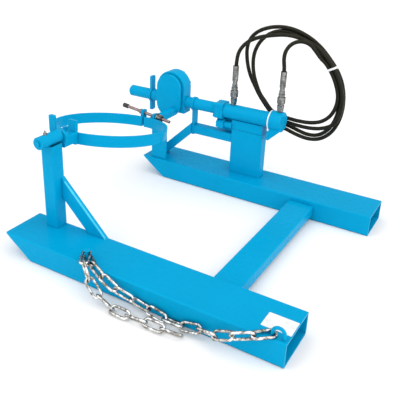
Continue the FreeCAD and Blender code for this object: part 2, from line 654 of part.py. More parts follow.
# Cylinder: front flange and gland, barrel, rear cap plate.
fl = fillet(box("12", "64", "64", "312", "drive_y - 32", "rack_z - 32"), 9.0, along("x"))
CORN = [(a, c) for a in (-23, 23) for c in (-23, 23)]
node(cut(fl, cyl("x", "rod_dia / 2 + 0.05", "40", "300", DY, RZ),
         *[cyl("x", "4.2", "40", "300", "drive_y + %d" % a, "rack_z + %d" % c) for a, c in CORN]), "cylinder_front_flange")
gl = fillet(box("24", "64", "64", "324", "drive_y - 32", "rack_z - 32"), 9.0, along("x"))
gl = fuse(gl, cyl("x", "barrel_id / 2", "20", "348", DY, RZ))
node(cut(gl, cyl("x", "rod_dia / 2 + 0.05", "80", "310", DY, RZ),
         *[cyl("x", "4.2", "36", "306", "drive_y + %d" % a, "rack_z + %d" % c) for a, c in CORN]), "cylinder_gland")
bl = [fuse(hexa("x", "7.6", "7", "305", "drive_y + %d" % a, "rack_z + %d" % c),
           cyl("x", "4.0", "28", "312", "drive_y + %d" % a, "rack_z + %d" % c)) for a, c in CORN]
bl.append(fuse(hexa("x", "22", "32", "321", "drive_y - 10", "fpost_top + 13"), cyl("x", "13", "34", "353", "drive_y - 10", "fpost_top + 13")))
node(group(*bl), "cylinder_bolts")
bar = tube("x", "barrel_od / 2", "barrel_id / 2", "barrel_len", "barrel_x", DY, RZ)
P1, P2 = 382.0, 582.0          # the two ports, along X
ports = [cyl("z", "5.0", "60", "%f" % P1, DY, RZ)]
node(cut(bar, *ports), "cylinder_barrel")
# Rear cap: a round end over the barrel with a wedge below it.
b = body_at("0", "drive_y - 27", "0")
s = sk_poly(b, "XZ_Plane", [("545", "rack_z"), ("545", "258"), ("552", "255"), ("600", "302"), ("600", "rack_z")])
pad = b.newObject("PartDesign::Pad", tmp("Pad"))
pad.Profile = s
pad.Reversed = True
pad.Length = 54.0
doc.recompute()
b.Tip = pad
capc = fillet(cyl("x", "40", "55", "545", DY, RZ), 4.0, circles(40.0))
node(cut(fuse(capc, b), cyl("z", "5.0", "80", "%f" % P2, DY, "rack_z"), cyl("x", "5.0", "%f - 544" % P2, "544", DY, "rack_z"),
         cyl("x", "barrel_od / 2", "11", "543", DY, RZ)), "cylinder_rear_cap")
# Piston, its ring seals and the rod to the rack.
PX = 372.0
rodb = fuse(cyl("x", "rod_dia / 2", "%f - 150" % PX, "150", DY, RZ), cyl("x", "rod_dia / 2 - 3.0", "24", "126", DY, RZ),
            cyl("x", "8.0", "34", "%f" % PX, DY, RZ))
node(rodb, "piston_rod")
pis = cut(cyl("x", "barrel_id / 2 - 0.08", "30", "%f" % PX, DY, RZ), cyl("x", "8.0", "40", "%f - 2" % PX, DY, RZ))
pis = cut(pis, tube("x", "barrel_id / 2 + 1", "21.5", "4", "%f + 6" % PX, DY, RZ), tube("x", "barrel_id / 2 + 1", "21.5", "4", "%f + 20" % PX, DY, RZ))
node(pis, "piston")
node(group(tube("x", "barrel_id / 2 - 0.05", "21.5", "4", "%f + 6" % PX, DY, RZ), tube("x", "barrel_id / 2 - 0.05", "21.5", "4", "%f + 20" % PX, DY, RZ)), "piston_seals")
nutp = hexa("x", "13", "10", "%f + 30" % PX, DY, RZ)
node(cut(nutp, cyl("x", "8.0", "30", "%f + 20" % PX, DY, RZ)), "piston_nut")

# Far post and the saddle block that carries the cylinder.
outer = rbar("z", "fpost_wid", "fpost_dep", "fpost_top - pocket_hgt", "fpost_x", "fpost_y", "pocket_hgt", 5.0)
inner = box("fpost_wid - 10", "fpost_dep - 10", "fpost_top", "fpost_x + 5", "fpost_y + 5", "pocket_hgt - 1")
node(cut(outer, inner), "far_post")
sad = fillet(box("134", "50", "40", "387", "drive_y - 14", "fpost_top"), 3.0, along("x"))
b = body_at("0", "drive_y + 13", "0")
s = sk_poly(b, "XZ_Plane", [("330", "fpost_top + 36"), ("390", "fpost_top + 36"), ("390", "fpost_top"), ("fpost_x", "fpost_top"), ("fpost_x", "fpost_top - 23"), ("346", "fpost_top - 23"), ("330", "fpost_top - 8")])
pad = b.newObject("PartDesign::Pad", tmp("Pad"))
pad.Profile = s
pad.Reversed = True
pad.Length = 18.0
doc.recompute()
b.Tip = pad
node(cut(fuse(sad, b), cyl("x", "barrel_od / 2", "400", "300", DY, RZ)), "cylinder_saddle")
# Support arm from the far post forward to an upright end plate that holds the rack tube.
ay = "fpost_y + 6"
outer = rbar("x", "fpost_x - arm_x", "arm_size", "arm_size", "arm_x", ay, "arm_z", 4.0)
inner = box("fpost_x - arm_x + 4", "arm_size - 7", "arm_size - 7", "arm_x - 2", "fpost_y + 9.5", "arm_z + 3.5")
node(cut(outer, inner), "support_arm")
ep = fuse(rbar("x", "10", "32", "rack_z - arm_z + 4", "arm_x - 10", "drive_y - 10", "arm_z - 4", 5.0),
          cyl("x", "rack_tube_od / 2 + 5", "10", "arm_x - 10", DY, RZ))
node(cut(ep, cyl("x", "rack_tube_od / 2", "60", "arm_x - 40", DY, RZ)), "arm_end_plate")
# Stay: a sloping bar from the end plate down to the far pocket.
b = body_at("0", "drive_y - 17", "0")
s = sk_poly(b, "XZ_Plane", [("arm_x - 10", "250"), ("20", "pocket_hgt"), ("68", "pocket_hgt"), ("arm_x - 10", "204")])
pad = b.newObject("PartDesign::Pad", tmp("Pad"))
pad.Profile = s
pad.Reversed = True
pad.Length = 34.0
doc.recompute()
fil = b.newObject("PartDesign::Fillet", tmp("Fillet"))
fil.Base = (pad, ["Edge%d" % i for i, e in enumerate(pad.Shape.Edges, start=1) if sloping(e)])
fil.Radius = 3.0
b.Tip = fil
node(b, "stay_bar")
# Front column: an upright plate on the far pocket's inner edge, beside the ring's far end.
colm = box("70", "12", "157", "37", "812", "pocket_hgt")
colm = fillet(colm, 22.0, lambda e: along("y")(e) and e.CenterOfMass.z > 200)
node(colm, "front_column")

# ---------------------------------------------------------------- hydraulics
# Each port carries an adapter, a quick coupler with a sliding sleeve, and a crimped hose ferrule.


ADAPT, COUP, FERR = [], [], []


def coupler(px, z0, tag):
    ad = fuse(cyl("z", "7.8", "12.8", "%f" % px, DY, "%f" % (z0 - 4.8)), hexa("z", "13", "11", "%f" % px, DY, "%f" % (z0 + 4)))
    ADAPT.append(cut(ad, cyl("z", "4.0", "40", "%f" % px, DY, "%f" % (z0 - 10))))
    body = fuse(cyl("z", "10.5", "58", "%f" % px, DY, "%f" % (z0 + 15)), hexa("z", "14.5", "12", "%f" % px, DY, "%f" % (z0 + 15)),
                cyl("z", "12.6", "8", "%f" % px, DY, "%f" % (z0 + 65)))
    COUP.append(cut(body, cyl("z", "4.0", "90", "%f" % px, DY, "%f" % (z0 + 10))))
    sl = tube("z", "15.5", "10.6", "27", "%f" % px, DY, "%f" % (z0 + 33))
    sl = chamfer(sl, 1.6, circles(15.5))
    grv = [tube("z", "17", "14.4", "2.4", "%f" % px, DY, "%f" % (z0 + q)) for q in (38.0, 43.0, 48.0)]
    node(cut(sl, *grv), "coupler_sleeve_" + tag)
    fe = fuse(hexa("z", "12", "10", "%f" % px, DY, "%f" % (z0 + 73)), cyl("z", "9.4", "16", "%f" % px, DY, "%f" % (z0 + 83)),
              cyl("z", "11.5", "60", "%f" % px, DY, "%f" % (z0 + 99)))
    grv = [tube("z", "13", "10.6", "2.2", "%f" % px, DY, "%f" % (z0 + 99 + q)) for q in (8.0, 17.0, 26.0, 35.0, 44.0)]
    FERR.append(cut(fe, cyl("z", "hose_dia / 2", "24", "%f" % px, DY, "%f" % (z0 + 137)),
                    cyl("z", "3.5", "76", "%f" % px, DY, "%f" % (z0 + 70)), *grv))
    return z0 + 159.0


z1 = coupler(P1, D("rack_z") + D("barrel_od") / 2, "front")
z2 = coupler(P2, D("rack_z") + 40.0, "rear")
# Loose ends of the two hoses: a crimped ferrule and a plug each, inside the coil.
END_X = 580.0
PLUGS = [(935.5, 291.0), (954.5, 300.0)]
for ey, ez in PLUGS:
    e, z_ = "%f" % ey, "%f" % ez
    FERR.append(fuse(cyl("x", "8.0", "30", "%f" % (END_X - 30), e, z_), hexa("x", "8.6", "8", "%f" % (END_X - 38), e, z_),
                     cyl("x", "6.2", "26", "%f" % (END_X - 64), e, z_)))
node(group(*ADAPT), "port_adapters")
node(group(*COUP), "quick_couplers")
node(group(*FERR), "hose_end_fittings")


def rounded(pts, label):
    """A route of straight runs joined by tangent arcs as large as the runs allow."""
    P = [Vector(*p) for p in pts]
    edges, start, radii = [], P[0], []
    for i in range(1, len(P) - 1):
        a, b_, c = P[i - 1], P[i], P[i + 1]
        u, w = (a - b_), (c - b_)
        lu, lw = u.Length, w.Length
        u.normalize(), w.normalize()
        turn = math.pi - math.acos(max(-1.0, min(1.0, u.dot(w))))
        cutl = 0.45 * min(lu, lw)
        radii.append(round(cutl / math.tan(turn / 2), 1))
        t0, t1 = b_ + u * cutl, b_ + w * cutl
        bis = (u + w).normalize()
        r = cutl / math.tan(turn / 2)
        cen = b_ + bis * (r / math.cos(turn / 2))
        mid = cen + (b_ - cen).normalize() * r
        edges.append(Part.LineSegment(start, t0).toShape())
        edges.append(Part.Arc(t0, mid, t1).toShape())
        start = t1
    edges.append(Part.LineSegment(start, P[-1]).toShape())
    wire = Part.Wire(edges)
    print(label, "bend radii", radii, "length", round(wire.Length, 1))
    return wire


def hose(pts, label):
    wire = rounded(pts, label)
    r = D("hose_dia") / 2
    d = Vector(*pts[1]) - Vector(*pts[0])
    prof = Part.Wire([Part.makeCircle(r, Vector(*pts[0]), d)])
    sh_ = wire.makePipeShell([prof], True, False)
    want = math.pi * r * r * wire.Length
    print(label, "volume ratio", round(sh_.Volume / want, 4))
    return sh_


CX, CY, CZ = D("coil_x"), D("coil_y"), D("coil_z")
FRONT_ROUTE = [(P1, D("drive_y"), z1 - 22), (P1, D("drive_y"), z1 + 31), (P1 + 11, D("drive_y") + 3, z1 + 68), (P1 + 38, D("drive_y") + 11, z1 + 100),
               (P1 + 80, D("drive_y") + 24, z1 + 120), (P1 + 130, D("drive_y") + 37, z1 + 131), (P1 + 178, D("drive_y") + 48, z1 + 137)]
REAR_ROUTE = [(P2, D("drive_y"), z2 - 22), (P2, D("drive_y"), z2 + 11), (P2 - 7, D("drive_y"), z2 + 48), (P2 - 5, D("drive_y") + 8, z2 + 79), (P2 + 13, D("drive_y") + 18, z2 + 105),
              (P2 + 43, D("drive_y") + 29, z2 + 116), (P2 + 76, D("drive_y") + 36, z2 + 108), (P2 + 101, D("drive_y") + 42, z2 + 81), (P2 + 118, D("drive_y") + 51, z2 + 57)]
solid(hose(FRONT_ROUTE, "hose_front"), "hose_front")
solid(hose(REAR_ROUTE, "hose_rear"), "hose_rear")


def oval(grow_a, grow_b, a, b_, y0, dy):
    """An upright disc whose long axis leans over to the pocket tips."""
    s45 = math.sqrt(0.5)
    c = Vector(CX, y0, CZ)
    a, b_ = a + grow_a, b_ + grow_b
    e = Part.Ellipse(c + Vector(-s45 * a, 0, s45 * a), c + Vector(s45 * b_, 0, s45 * b_), c).toShape()
    return Part.Face(Part.Wire([e])).extrude(Vector(0, dy, 0))


# The coil: one oval ring with the outer shape of the wound strands, with room
# for the two plugs.
c0, dep = CY - D("coil_dep") / 2, D("coil_dep")
AO, BO, AI, BI = D("coil_long"), D("coil_short"), D("coil_long_in"), D("coil_short_in")
coil = oval(0, 0, AO, BO, c0, dep).cut(oval(0, 0, AI, BI, c0 - 2, dep + 4))
for ey, ez in PLUGS:
    coil = coil.cut(Part.makeCylinder(9.0, 70.0, Vector(END_X - 70.0, ey, ez), Vector(1, 0, 0)))
solid(coil, "hose_coil")
# Cable tie round the wound strands.
TA = 28.0
t_out = oval(2.3, 2.3, AO, BO, c0 - 2.3, dep + 4.6).cut(oval(-2.3, -2.3, AI, BI, c0 - 20, 100))
t_in = oval(0.3, 0.3, AO, BO, c0 - 0.3, dep + 0.6).cut(oval(-0.3, -0.3, AI, BI, c0 - 20, 100))
slab = Part.makeBox(150, 100, 8, Vector(CX + 90, CY - 50, CZ - 4))
slab.rotate(Vector(CX, CY, CZ), Vector(0, 1, 0), -TA)
solid(t_out.cut(t_in).common(slab), "hose_tie")

# ---------------------------------------------------------------- chain, eye and plate
# Chain eye: bent rod on the near pocket's top at the heel; chain peg further forward.
EX, EY = 971.0, 16.0
wire = Part.Wire([Part.LineSegment(Vector(EX - 17, EY, 78), Vector(EX - 17, EY, 92)).toShape(),
                  Part.Arc(Vector(EX - 17, EY, 92), Vector(EX, EY, 109), Vector(EX + 17, EY, 92)).toShape(),
                  Part.LineSegment(Vector(EX + 17, EY, 92), Vector(EX + 17, EY, 78)).toShape()])
eye = wire.makePipeShell([Part.Wire([Part.makeCircle(5.0, Vector(EX - 17, EY, 78), Vector(0, 0, 1))])], True, False)
solid(eye, "chain_eye")
LW, LP, LB = D("link_wire"), D("link_pitch"), D("link_wid")
CLR = 0.6


def link_at(p, q, twist, ref=Vector(0, 0, 1)):
    """One welded link whose two seats are at p and q, turned by twist about its length."""
    p, q = Vector(*p), Vector(*q)
    x = (q - p)
    length = x.Length
    x.normalize()
    yv = ref.cross(x).normalize()
    zv = x.cross(yv)
    t = math.radians(twist)
    y2 = yv * math.cos(t) + zv * math.sin(t)
    c = (p + q) * 0.5
    hw = (LB - LW) / 2
    hl = length / 2 + LW / 2 + CLR / 2 - hw
    A = c - x * hl + y2 * hw
    B = c + x * hl + y2 * hw
    C_ = c + x * hl - y2 * hw
    D_ = c - x * hl - y2 * hw
    w = Part.Wire([Part.LineSegment(A, B).toShape(), Part.Arc(B, c + x * (hl + hw), C_).toShape(),
                   Part.LineSegment(C_, D_).toShape(), Part.Arc(D_, c - x * (hl + hw), A).toShape()])
    return w.makePipeShell([Part.Wire([Part.makeCircle(LW / 2, A, x)])], True, False)


# The chain lies from the eye's front leg along the pocket's side to the peg;
# its loose end hangs from the same peg down to the floor.  Each point is a seat
# between two links, and each link has its own twist.
seats = [(957.5, 19.5, 84.5), (915.4, -19.0, 84.3), (862.8, -35.2, 69.5), (809.9, -33.1, 47.2), (756.8, -18.7, 31.2), (700.6, -17.7, 17.1), (643.2, -17.6, 15.6),
         (586.5, -17.5, 25.5), (530.5, -18.4, 38.3), (475.4, -25.3, 54.8), (422.1, -21.2, 77.4), (369.1, -3.2, 89.8), (322.2, 30.3, 84.5)]
twists = [-7, 80, 146, 50, 128, 25, 124, 10, 82, -7, 101, 0]
links = []
for i, tw in enumerate(twists):
    links.append(link_at(seats[i], seats[i + 1], tw))
d = (Vector(*seats[-1]) - Vector(*seats[-2])).normalize()
GX, GY = seats[-1][0] - 7.0 * d.x, seats[-1][1] - 7.0 * d.y
peg = fuse(cyl("z", "6", "30", "%f" % GX, "%f" % GY, "pocket_hgt"), cyl("z", "10", "4", "%f" % GX, "%f" % GY, "pocket_hgt + 30"))
peg = fillet(peg, 1.5, circles(10.0))
node(peg, "chain_peg")
tail = [(323.8, 31.6, 100.5), (350.9, -18.7, 97.8), (391.9, -45.5, 68.5), (435.3, -54.6, 32.6), (488.6, -60.0, 13.3), (545.7, -61.0, 13.2), (603.0, -57.0, 15.0), (659.5, -54.0, 13.6), (716.0, -50.0, 15.0)]
tail_twists = [0, 90, 27, 132, 26, 136, 26, 136]
for i, tw in enumerate(tail_twists):
    links.append(link_at(tail[i], tail[i + 1], tw))
solid(Part.makeCompound(links), "safety_chain")
# Blank plate on the near pocket at the heel.
pl = box("88", "62", "1.2", "910", "38", "pocket_hgt")
pl = fillet(pl, 3.0, along("z"))
node(pl, "blank_plate")

# ---------------------------------------------------------------- checks and files
doc.recompute()
bad = []
for o in doc.Objects:
    if any(w in o.State for w in ("Invalid", "Error")):
        bad.append((o.Name, o.Label, o.State))
for name, o in NODES.items():
    sh_ = o.Shape
    if sh_.isNull() or not sh_.isValid() or not sh_.Solids:
        bad.append((name, "shape", sh_.isNull()))
if bad:
    print("FAILED", bad)
    raise SystemExit(1)
lo = [1e9] * 3
hi = [-1e9] * 3
CORDS = ("hose_front", "hose_rear", "hose_coil")
for name, o in NODES.items():
    o.Shape.exportStep("parts/%s.step" % name)
    bb = o.Shape.BoundBox
    if name not in CORDS:
        for i, (a, c) in enumerate(((bb.XMin, bb.XMax), (bb.YMin, bb.YMax), (bb.ZMin, bb.ZMax))):
            lo[i], hi[i] = min(lo[i], a), max(hi[i], c)
print(len(NODES), "nodes; box", [round(v, 2) for v in lo], [round(v, 2) for v in hi],
      "centre", round((lo[0] + hi[0]) / 2, 2), round((lo[1] + hi[1]) / 2, 2))
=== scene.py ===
import json
import math

import bpy
import bmesh
from mathutils import Matrix, Vector


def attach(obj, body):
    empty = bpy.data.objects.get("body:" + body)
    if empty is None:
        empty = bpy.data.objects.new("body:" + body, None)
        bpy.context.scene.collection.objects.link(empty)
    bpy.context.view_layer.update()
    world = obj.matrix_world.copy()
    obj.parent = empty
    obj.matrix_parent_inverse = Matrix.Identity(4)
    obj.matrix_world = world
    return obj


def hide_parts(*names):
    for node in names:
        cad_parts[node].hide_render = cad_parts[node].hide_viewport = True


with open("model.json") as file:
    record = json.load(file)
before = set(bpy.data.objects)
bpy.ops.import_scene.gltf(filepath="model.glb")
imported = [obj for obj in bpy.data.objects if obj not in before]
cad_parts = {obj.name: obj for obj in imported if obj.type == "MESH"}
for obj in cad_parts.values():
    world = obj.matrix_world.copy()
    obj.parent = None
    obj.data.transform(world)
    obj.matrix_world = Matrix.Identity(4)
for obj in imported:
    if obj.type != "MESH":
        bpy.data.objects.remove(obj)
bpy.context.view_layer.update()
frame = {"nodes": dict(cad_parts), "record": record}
nodes = frame["nodes"]

# Layout axes (mm): X from the pocket tips to the heels, Y from the near pocket's
# outer face to the far side, Z up.  The part's own frame is shifted by OFF.
OFF = (439.0, 443.45, 0.0)


def W(x, y, z):
    return Vector(((x - OFF[0]) / 1000.0, (y - OFF[1]) / 1000.0, z / 1000.0))


scene = bpy.context.scene
scene.view_settings.view_transform = "Standard"
scene.view_settings.look = "None"

# ------------------------------------------------------------------ camera
F_PX, AZ, EL, ROLL = 585.46, math.radians(120.35), math.radians(24.13), math.radians(1.94)
EYE = (1357.39, -1151.61, 1097.61)
fwd = Vector((math.cos(EL) * math.cos(AZ), math.cos(EL) * math.sin(AZ), -math.sin(EL)))
r = fwd.cross(Vector((0, 0, 1))).normalized()
u = r.cross(fwd)
r2 = r * math.cos(ROLL) + u * math.sin(ROLL)
u2 = u * math.cos(ROLL) - r * math.sin(ROLL)
cam = bpy.data.cameras.new("camera")
cam.sensor_fit = "HORIZONTAL"
cam.sensor_width = 36.0
cam.lens = F_PX / 400.0 * 36.0
cam.shift_x = (200.0 - 185.0) / 400.0
cam.shift_y = (165.0 - 200.0) / 400.0
cam.clip_start = 0.05
cam_ob = bpy.data.objects.new("camera", cam)
scene.collection.objects.link(cam_ob)
rot = Matrix((r2, u2, -fwd)).transposed().to_4x4()
cam_ob.matrix_world = Matrix.Translation(W(*EYE)) @ rot
scene.camera = cam_ob


# ------------------------------------------------------------------ materials
class Mat:
    """A small builder for node materials."""

    def __init__(self, name, **sockets):
        self.m = bpy.data.materials.new(name)
        self.m.use_nodes = True
        self.t = self.m.node_tree
        self.b = self.t.nodes["Principled BSDF"]
        for k, v in sockets.items():
            self.b.inputs[k.replace("_", " ")].default_value = v
        self.pos = self.t.nodes.new("ShaderNodeTexCoord").outputs["Object"]

    def node(self, kind, **props):
        n = self.t.nodes.new(kind)
        for k, v in props.items():
            setattr(n, k, v)
        return n

    def link(self, a, b):
        self.t.links.new(a, b)

    def noise(self, scale, detail=3.0, rough=0.55, stretch=None, distortion=0.0):
        n = self.node("ShaderNodeTexNoise")
        n.inputs["Scale"].default_value = scale
        n.inputs["Detail"].default_value = detail
        n.inputs["Roughness"].default_value = rough
        n.inputs["Distortion"].default_value = distortion
        src = self.pos
        if stretch:
            mp = self.node("ShaderNodeMapping")
            mp.inputs["Scale"].default_value = stretch
            self.link(src, mp.inputs["Vector"])
            src = mp.outputs["Vector"]
        self.link(src, n.inputs["Vector"])
        return n.outputs["Fac"]

    def ramp(self, fac, stops):
        n = self.node("ShaderNodeValToRGB")
        e = n.color_ramp.elements
        while len(e) > 1:
            e.remove(e[0])
        for i, (p, c) in enumerate(stops):
            k = e[0] if i == 0 else e.new(p)
            k.position = p
            k.color = (c[0], c[1], c[2], 1.0) if isinstance(c, tuple) else (c, c, c, 1.0)
        self.link(fac, n.inputs["Fac"])
        return n.outputs["Color"]

    def range(self, fac, a, b, lo=0.0, hi=1.0):
        n = self.node("ShaderNodeMapRange")
        n.inputs["From Min"].default_value = lo
        n.inputs["From Max"].default_value = hi
        n.inputs["To Min"].default_value = a
        n.inputs["To Max"].default_value = b
        self.link(fac, n.inputs["Value"])
        return n.outputs["Result"]

    def mix(self, fac, a, b, blend="MIX"):
        n = self.node("ShaderNodeMix", data_type="RGBA", blend_type=blend)
        ins = [s for s in n.inputs if s.enabled]
        for s, v in zip(ins, (fac, a, b)):
            if isinstance(v, (int, float)):
                s.default_value = v
            elif isinstance(v, tuple):
                s.default_value = (v[0], v[1], v[2], 1.0)
            else:
                self.link(v, s)
        return [o for o in n.outputs if o.enabled][0]

    def math(self, op, a, b=None):
        n = self.node("ShaderNodeMath", operation=op)
        for s, v in zip(n.inputs, (a, b)):
            if v is None:
                continue
            if isinstance(v, (int, float)):
                s.default_value = v
            else:
                self.link(v, s)
        return n.outputs["Value"]

    def edges(self, radius):
        """About 0 on flat ground and rising towards 1 along sharp edges."""
        bev = self.node("ShaderNodeBevel", samples=4)
        bev.inputs["Radius"].default_value = radius
        geo = self.node("ShaderNodeNewGeometry")
        dot = self.node("ShaderNodeVectorMath", operation="DOT_PRODUCT")
        self.link(bev.outputs["Normal"], dot.inputs[0])
        self.link(geo.outputs["Normal"], dot.inputs[1])
        return self.math("SUBTRACT", 1.0, dot.outputs["Value"])

    def color(self, c):
        self.link(c, self.b.inputs["Base Color"])
        return self

    def rough(self, c):
        self.link(c, self.b.inputs["Roughness"])
        return self

    def bump(self, height, strength, dist):
        n = self.node("ShaderNodeBump")
        n.inputs["Strength"].default_value = strength
        n.inputs["Distance"].default_value = dist
        self.link(height, n.inputs["Height"])
        self.link(n.outputs["Normal"], self.b.inputs["Normal"])
        return self


def paint_blue():
    m = Mat("paint_blue", Coat_Weight=0.01, Coat_Roughness=0.10, IOR=1.42, Specular_IOR_Level=0.05)
    broad = m.noise(3.2, 4.0, 0.6)
    col = m.ramp(broad, [(0.30, (0.0002, 0.296, 0.535)), (0.52, (0.0002, 0.312, 0.566)), (0.72, (0.0004, 0.328, 0.595))])
    # Lighter scuff patches; the same noise also breaks up the painted highlights on the cap rim and the brace below.
    scuff_and_highlight_noise = m.noise(26.0, 6.0, 0.7, distortion=0.6)
    col = m.mix(m.range(scuff_and_highlight_noise, 0.0, 0.22, 0.62, 0.80), col, (0.004, 0.385, 0.620))
    # Darker grime patches; the same noise also breaks up the painted shade in the corners below.
    grime_and_shade_noise = m.noise(9.0, 5.0, 0.65)
    col = m.mix(m.range(grime_and_shade_noise, 0.0, 0.22, 0.60, 0.80), col, (0.001, 0.240, 0.435))
    wear = m.range(m.math("MULTIPLY", m.edges(0.0025), m.range(scuff_and_highlight_noise, 0.0, 1.6, 0.40, 0.65)), 0.0, 0.45, 0.02, 0.22)
    col = m.mix(wear, col, (0.06, 0.48, 0.70))
    # Painted shade: a darker blue in the corners where pieces meet, where ambient occlusion is low, broken into
    # patches by the grime noise.
    ao = m.node("ShaderNodeAmbientOcclusion", samples=6)
    ao.inputs["Distance"].default_value = 0.011
    painted_crevice_shade = m.math("MULTIPLY", m.range(ao.outputs["AO"], 0.75, 0.0, 0.30, 0.72), m.range(grime_and_shade_noise, 0.75, 1.0, 0.35, 0.60))
    col = m.mix(painted_crevice_shade, col, (0.001, 0.085, 0.190))
    # Rim of the cylinder's rear cap: a painted highlight, a near-white colour in a thin ring at the rim edge.
    xyz = m.node("ShaderNodeSeparateXYZ")
    m.link(m.pos, xyz.inputs[0])
    rx, ry, rz = [m.math("SUBTRACT", xyz.outputs[i], c) for i, c in enumerate(W(548.0, 884.0, 333.0))]
    rad = m.math("SQRT", m.math("ADD", m.math("MULTIPLY", ry, ry), m.math("MULTIPLY", rz, rz)))
    cap_rim_highlight = m.math("MULTIPLY", m.math("LESS_THAN", m.math("ABSOLUTE", rx), 0.0034), m.math("LESS_THAN", rad, 0.046))
    col = m.mix(m.math("MULTIPLY", cap_rim_highlight, m.range(scuff_and_highlight_noise, 0.75, 1.0, 0.35, 0.60)), col, (0.90, 0.93, 0.94))
    # Upper front edge of the near post's brace: a thinner painted highlight, a light-blue line along the edge.
    bx, by, bz = [m.math("SUBTRACT", xyz.outputs[i], c) for i, c in enumerate(W(125.0, 147.0, 258.0))]
    slope = m.math("MULTIPLY", m.math("ADD", bx, bz), 0.7071)
    line = m.math("MULTIPLY", m.math("LESS_THAN", m.math("ABSOLUTE", m.math("ADD", slope, 0.001)), 0.0035), m.math("LESS_THAN", m.math("ABSOLUTE", m.math("SUBTRACT", by, 0.0012)), 0.0034))
    line = m.math("MULTIPLY", line, m.math("MULTIPLY", m.math("GREATER_THAN", bx, 0.012), m.math("LESS_THAN", bx, 0.176)))
    col = m.mix(m.math("MULTIPLY", line, m.range(scuff_and_highlight_noise, 0.55, 0.9, 0.35, 0.60)), col, (0.10, 0.62, 0.78))
    m.color(col)
    m.rough(m.range(m.noise(40.0, 4.0, 0.6), 0.22, 0.40, 0.3, 0.75))
    peel = m.math("ADD", m.math("MULTIPLY", m.noise(420.0, 2.0, 0.5), 0.5), m.math("MULTIPLY", m.noise(60.0, 3.0, 0.5), 0.6))
    m.bump(peel, 0.10, 0.0006)
    return m.m


def zinc_chain():
    m = Mat("zinc_chain", Metallic=1.0, Specular_Tint=(0.16, 0.15, 0.13, 1.0))
    col = m.ramp(m.noise(70.0, 5.0, 0.65), [(0.34, (0.07, 0.060, 0.050)), (0.45, (0.36, 0.345, 0.32)), (0.58, (0.88, 0.88, 0.87))])
    tint = m.range(m.noise(24.0, 3.0, 0.5), 0.0, 0.35, 0.48, 0.75)
    m.color(m.mix(tint, col, (0.40, 0.34, 0.26)))
    m.rough(m.range(m.noise(160.0, 4.0, 0.6), 0.10, 0.28, 0.3, 0.7))
    m.bump(m.noise(260.0, 4.0, 0.6), 0.18, 0.0008)
    return m.m


def turned_steel(name, dark, light, rough, axis_stretch):
    m = Mat(name, Metallic=1.0, Specular_Tint=(0.08, 0.08, 0.08, 1.0))
    lines = m.noise(70.0, 2.0, 0.5, stretch=axis_stretch)
    spots = m.noise(30.0, 3.0, 0.6)
    col = m.mix(m.range(lines, 0.0, 1.0, 0.35, 0.65), dark, light)
    col = m.mix(m.range(spots, 0.0, 0.55, 0.52, 0.75), col, (dark[0] * 0.55, dark[1] * 0.5, dark[2] * 0.45))
    m.color(col)
    m.rough(m.range(lines, rough[0], rough[1], 0.3, 0.7))
    m.bump(lines, 0.08, 0.0003)
    return m.m


def hose_rubber():
    m = Mat("hose_rubber", IOR=1.45, Specular_IOR_Level=0.25, Specular_Tint=(1.0, 0.98, 0.78, 1.0), Sheen_Weight=0.03, Sheen_Roughness=0.5)
    m.b.inputs["Sheen Tint"].default_value = (0.62, 0.62, 0.40, 1.0)
    col = m.ramp(m.noise(30.0, 4.0, 0.6), [(0.30, (0.0035, 0.0035, 0.0021)), (0.55, (0.0070, 0.0069, 0.0042)), (0.75, (0.014, 0.0137, 0.0085))])
    dust = m.range(m.noise(140.0, 5.0, 0.7), 0.0, 0.20, 0.55, 0.8)
    m.color(m.mix(dust, col, (0.055, 0.053, 0.036)))
    m.rough(m.range(m.noise(55.0, 4.0, 0.6), 0.36, 0.58, 0.3, 0.7))
    m.bump(m.noise(520.0, 3.0, 0.6), 0.20, 0.0006)
    return m.m


def plastic(name, lo, hi, rough):
    m = Mat(name, IOR=1.49)
    m.color(m.ramp(m.noise(60.0, 4.0, 0.6), [(0.3, lo), (0.7, hi)]))
    m.rough(m.range(m.noise(110.0, 3.0, 0.6), rough[0], rough[1], 0.3, 0.7))
    m.bump(m.noise(380.0, 3.0, 0.6), 0.12, 0.0005)
    return m.m


def plate_white():
    m = Mat("plate_white", IOR=1.5)
    col = m.ramp(m.noise(35.0, 5.0, 0.6), [(0.28, (0.66, 0.69, 0.70)), (0.5, (0.80, 0.81, 0.81)), (0.75, (0.86, 0.86, 0.85))])
    smear = m.range(m.noise(90.0, 6.0, 0.7, distortion=1.2), 0.0, 0.30, 0.60, 0.82)
    m.color(m.mix(smear, col, (0.45, 0.52, 0.57)))
    m.rough(m.range(m.noise(80.0, 3.0, 0.6), 0.32, 0.55, 0.3, 0.7))
    m.bump(m.noise(150.0, 4.0, 0.6), 0.10, 0.0005)
    return m.m


